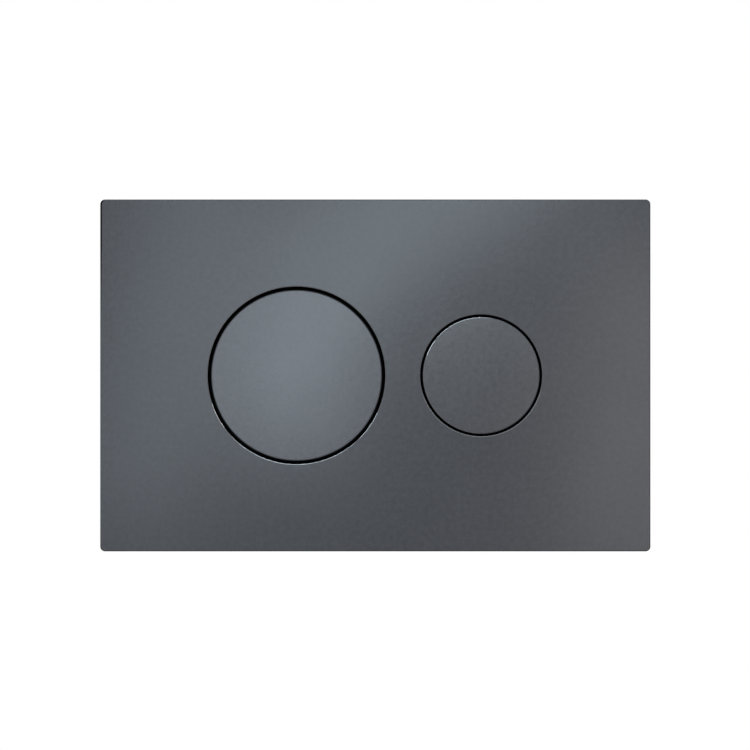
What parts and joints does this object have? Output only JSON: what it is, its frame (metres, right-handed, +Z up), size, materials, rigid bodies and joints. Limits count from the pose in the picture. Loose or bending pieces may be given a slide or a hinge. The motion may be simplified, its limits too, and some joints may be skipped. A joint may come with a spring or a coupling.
{
  "type": "flush button plate",
  "caption": "Rectangular wall plate for a concealed cistern with a large full-flush and a small half-flush button, spring-loaded push rods behind and a bolted wall frame.",
  "frame": {"origin": "middle of the plate on the finished wall, at the middle of the wall frame's back face", "axes": "+X to the user's right, +Z up, +Y into the wall; the buttons face -Y"},
  "size_m": [0.247, 0.0912, 0.158],
  "materials": {
    "grey_paint": "satin grey paint on moulded plastic",
    "black_moulding": "moulded black plastic, fine matt",
    "white_moulding": "moulded off-white plastic",
    "zinc_steel": "bright zinc plating",
    "spring_steel": "drawn and rolled spring steel"
  },
  "bodies": {
    "wall_assembly": {"face_plate": "grey_paint", "guide_bracket": "black_moulding", "bracket_screws": "zinc_steel", "full_flush_spring": "spring_steel", "half_flush_spring": "spring_steel", "mounting_frame": "white_moulding", "left_fixing_bolt": "zinc_steel", "right_fixing_bolt": "zinc_steel", "left_thumb_knob": "black_moulding", "right_thumb_knob": "black_moulding", "left_plate_clip": "spring_steel", "right_plate_clip": "spring_steel"},
    "full_flush_button": {"full_flush_cap": "grey_paint", "full_flush_slider": "black_moulding", "full_flush_rod": "white_moulding", "full_flush_lock_nut": "black_moulding"},
    "half_flush_button": {"half_flush_cap": "grey_paint", "half_flush_slider": "black_moulding", "half_flush_rod": "white_moulding", "half_flush_lock_nut": "black_moulding"}
  },
  "joints": [
    {"name": "full_flush_press", "type": "slide", "parent": "wall_assembly", "child": "full_flush_button", "axis": [0, 1, 0], "range_m": [0, 0.005], "stiffness_N_per_m": 540, "springref_m": -0.004, "deforming": ["full_flush_spring"]},
    {"name": "half_flush_press", "type": "slide", "parent": "wall_assembly", "child": "half_flush_button", "axis": [0, 1, 0], "range_m": [0, 0.005], "stiffness_N_per_m": 540, "springref_m": -0.004, "deforming": ["half_flush_spring"]}
  ]
}
